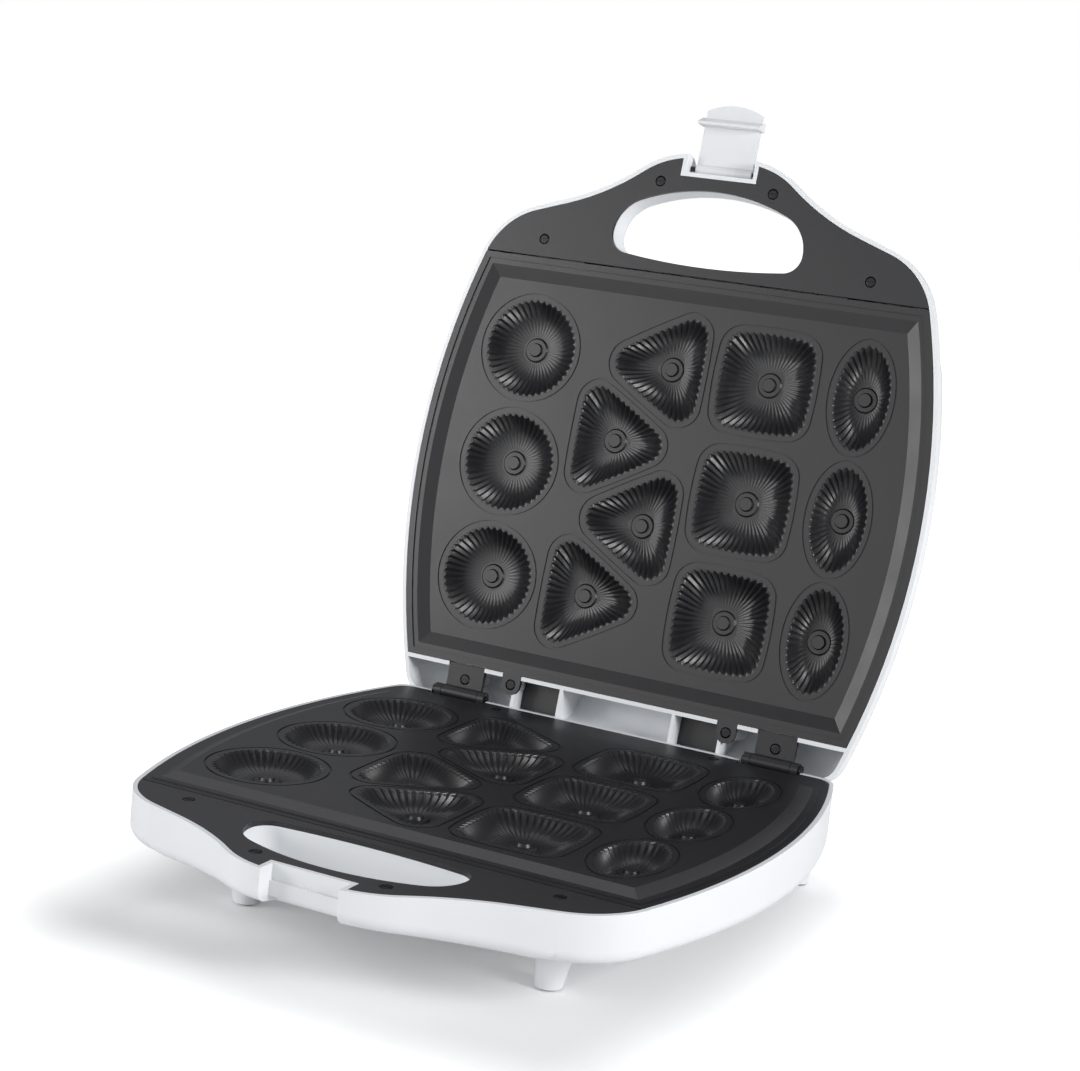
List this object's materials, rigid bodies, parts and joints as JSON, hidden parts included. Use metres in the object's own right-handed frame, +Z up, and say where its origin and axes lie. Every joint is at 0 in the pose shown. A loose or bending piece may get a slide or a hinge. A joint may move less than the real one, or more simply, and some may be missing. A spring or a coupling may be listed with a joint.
{
  "type": "electric cookie maker",
  "caption": "Clamshell electric cookie maker: hinged lid and base with shaped non-stick baking cups, carry grips, a front latch and feet.",
  "frame": {"origin": "on the standing surface, midway across and midway front to back of the open appliance", "axes": "+X to the appliance's right seen from the handle side, +Y towards the hinge and the rear, +Z up"},
  "size_m": [0.3266, 0.4324, 0.4242],
  "materials": {
    "white_plastic": "glossy white moulded housing",
    "latch_plastic": "glossy white moulded clip",
    "panel_plastic": "dark grey satin moulded trim",
    "nonstick_plate": "cast plate with a dark non-stick coating",
    "heater_steel": "tubular heater sheath",
    "reflector_sheet": "bright pressed sheet",
    "thermostat_metal": "drawn metal can",
    "fuse_sleeve": "glass-fibre sleeve",
    "screw_steel": "black-plated steel",
    "pin_steel": "blackened steel pin",
    "hinge_black": "black moulded hinge",
    "foot_rubber": "grey rubber pad",
    "gland_rubber": "white rubber grommet",
    "terminal_plastic": "white moulded terminals",
    "lead_sleeve": "silicone sleeved lead",
    "red_lens": "translucent red lens",
    "green_lens": "translucent green lens",
    "neon_glass": "small glow lamp"
  },
  "bodies": {
    "base": {"lower_housing": "white_plastic", "lower_front_panel": "panel_plastic", "lower_plate": "nonstick_plate", "lower_heating_element": "heater_steel", "lower_heat_reflector": "reflector_sheet", "lower_thermostat": "thermostat_metal", "thermal_fuse": "fuse_sleeve", "lower_reflector_screws": "screw_steel", "lower_panel_screws": "screw_steel", "lower_plate_screws": "screw_steel", "foot_pads": "foot_rubber", "left_hinge_bracket": "hinge_black", "right_hinge_bracket": "hinge_black", "hinge_bracket_screws": "screw_steel", "left_hinge_pin": "pin_steel", "right_hinge_pin": "pin_steel", "cord_gland": "gland_rubber", "cord_clamp": "white_plastic", "cord_clamp_screws": "screw_steel", "terminal_block": "terminal_plastic", "heater_leads": "lead_sleeve"},
    "lid": {"upper_housing": "white_plastic", "upper_front_panel": "panel_plastic", "upper_plate": "nonstick_plate", "upper_heating_element": "heater_steel", "upper_heat_reflector": "reflector_sheet", "upper_thermostat": "thermostat_metal", "upper_reflector_screws": "screw_steel", "upper_panel_screws": "screw_steel", "upper_plate_screws": "screw_steel", "pocket_covers": "hinge_black", "left_hinge_arm": "hinge_black", "right_hinge_arm": "hinge_black", "hinge_arm_screws": "screw_steel", "power_lamp_lens": "red_lens", "ready_lamp_lens": "green_lens", "neon_lamps": "neon_glass", "latch_pin": "pin_steel"},
    "latch": {"latch": "latch_plastic"}
  },
  "joints": [
    {"name": "lid_hinge", "type": "hinge", "parent": "base", "child": "lid", "pos_m": [0, 0.12575, 0.0605], "axis": [1, 0, 0], "range_deg": [0, 102.4]},
    {"name": "latch_pivot", "type": "hinge", "parent": "lid", "child": "latch", "pos_m": [0, 0.20639, 0.38536], "axis": [1, 0, 0], "range_deg": [0, 90]}
  ]
}
